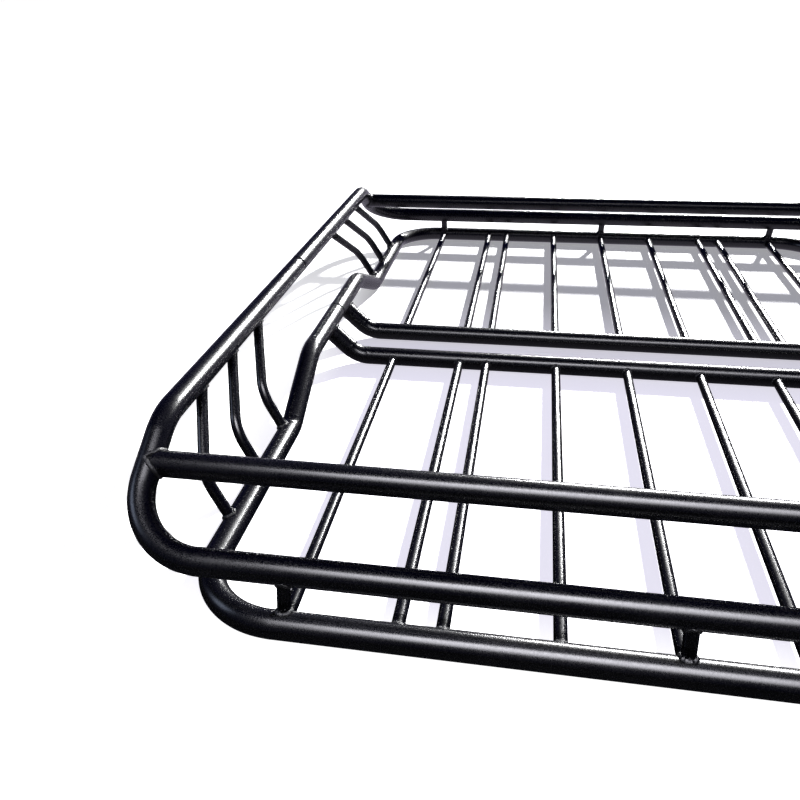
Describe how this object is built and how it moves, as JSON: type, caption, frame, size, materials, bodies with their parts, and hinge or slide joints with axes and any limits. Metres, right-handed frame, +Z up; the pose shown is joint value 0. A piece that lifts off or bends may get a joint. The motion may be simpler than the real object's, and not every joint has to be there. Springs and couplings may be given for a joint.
{
  "type": "roof cargo basket",
  "caption": "Two-piece welded tube basket for a car roof rack: flared sides, slatted floor, raised side rails at the middle seam, halves joined on splice tubes.",
  "frame": {"origin": "mid-length, on the centre plane, level with the underside of the floor tubes", "axes": "+X to the right across the car, +Y along the car from the front half to the rear half, +Z up"},
  "size_m": [0.9776, 1.1614, 0.1434],
  "materials": {
    "powder_coat": "satin black powder coat",
    "zinc_steel": "bright zinc plate"
  },
  "bodies": {
    "rear_half": {"rear_top_loop": "powder_coat", "rear_upper_end_rail": "powder_coat", "rear_floor_loop": "powder_coat", "rear_cross_tube": "powder_coat", "rear_slat_1": "powder_coat", "rear_slat_2": "powder_coat", "rear_slat_3": "powder_coat", "rear_slat_4": "powder_coat", "rear_slat_5": "powder_coat", "rear_slat_6": "powder_coat", "rear_slat_7": "powder_coat", "rear_slat_8": "powder_coat", "rear_slat_9": "powder_coat", "rear_post_left": "powder_coat", "rear_post_centre": "powder_coat", "rear_post_right": "powder_coat", "rear_spindle_left_1": "powder_coat", "rear_spindle_left_2": "powder_coat", "rear_spindle_left_3": "powder_coat", "rear_spindle_right_1": "powder_coat", "rear_spindle_right_2": "powder_coat", "rear_spindle_right_3": "powder_coat", "splice_tube_top_left": "zinc_steel", "splice_tube_top_right": "zinc_steel", "splice_tube_floor_left": "zinc_steel", "splice_tube_floor_right": "zinc_steel"},
    "front_half": {"front_top_loop": "powder_coat", "front_upper_end_rail": "powder_coat", "front_floor_loop": "powder_coat", "front_cross_tube": "powder_coat", "front_slat_1": "powder_coat", "front_slat_2": "powder_coat", "front_slat_3": "powder_coat", "front_slat_4": "powder_coat", "front_slat_5": "powder_coat", "front_slat_6": "powder_coat", "front_slat_7": "powder_coat", "front_slat_8": "powder_coat", "front_slat_9": "powder_coat", "front_post_left": "powder_coat", "front_post_centre": "powder_coat", "front_post_right": "powder_coat", "front_spindle_left_1": "powder_coat", "front_spindle_left_2": "powder_coat", "front_spindle_left_3": "powder_coat", "front_spindle_right_1": "powder_coat", "front_spindle_right_2": "powder_coat", "front_spindle_right_3": "powder_coat", "weld_nuts": "powder_coat", "clamp_screws": "zinc_steel"}
  },
  "joints": [
    {"name": "halves_slide", "type": "slide", "parent": "rear_half", "child": "front_half", "axis": [0, -1, 0], "range_m": [0, 0.055]}
  ]
}
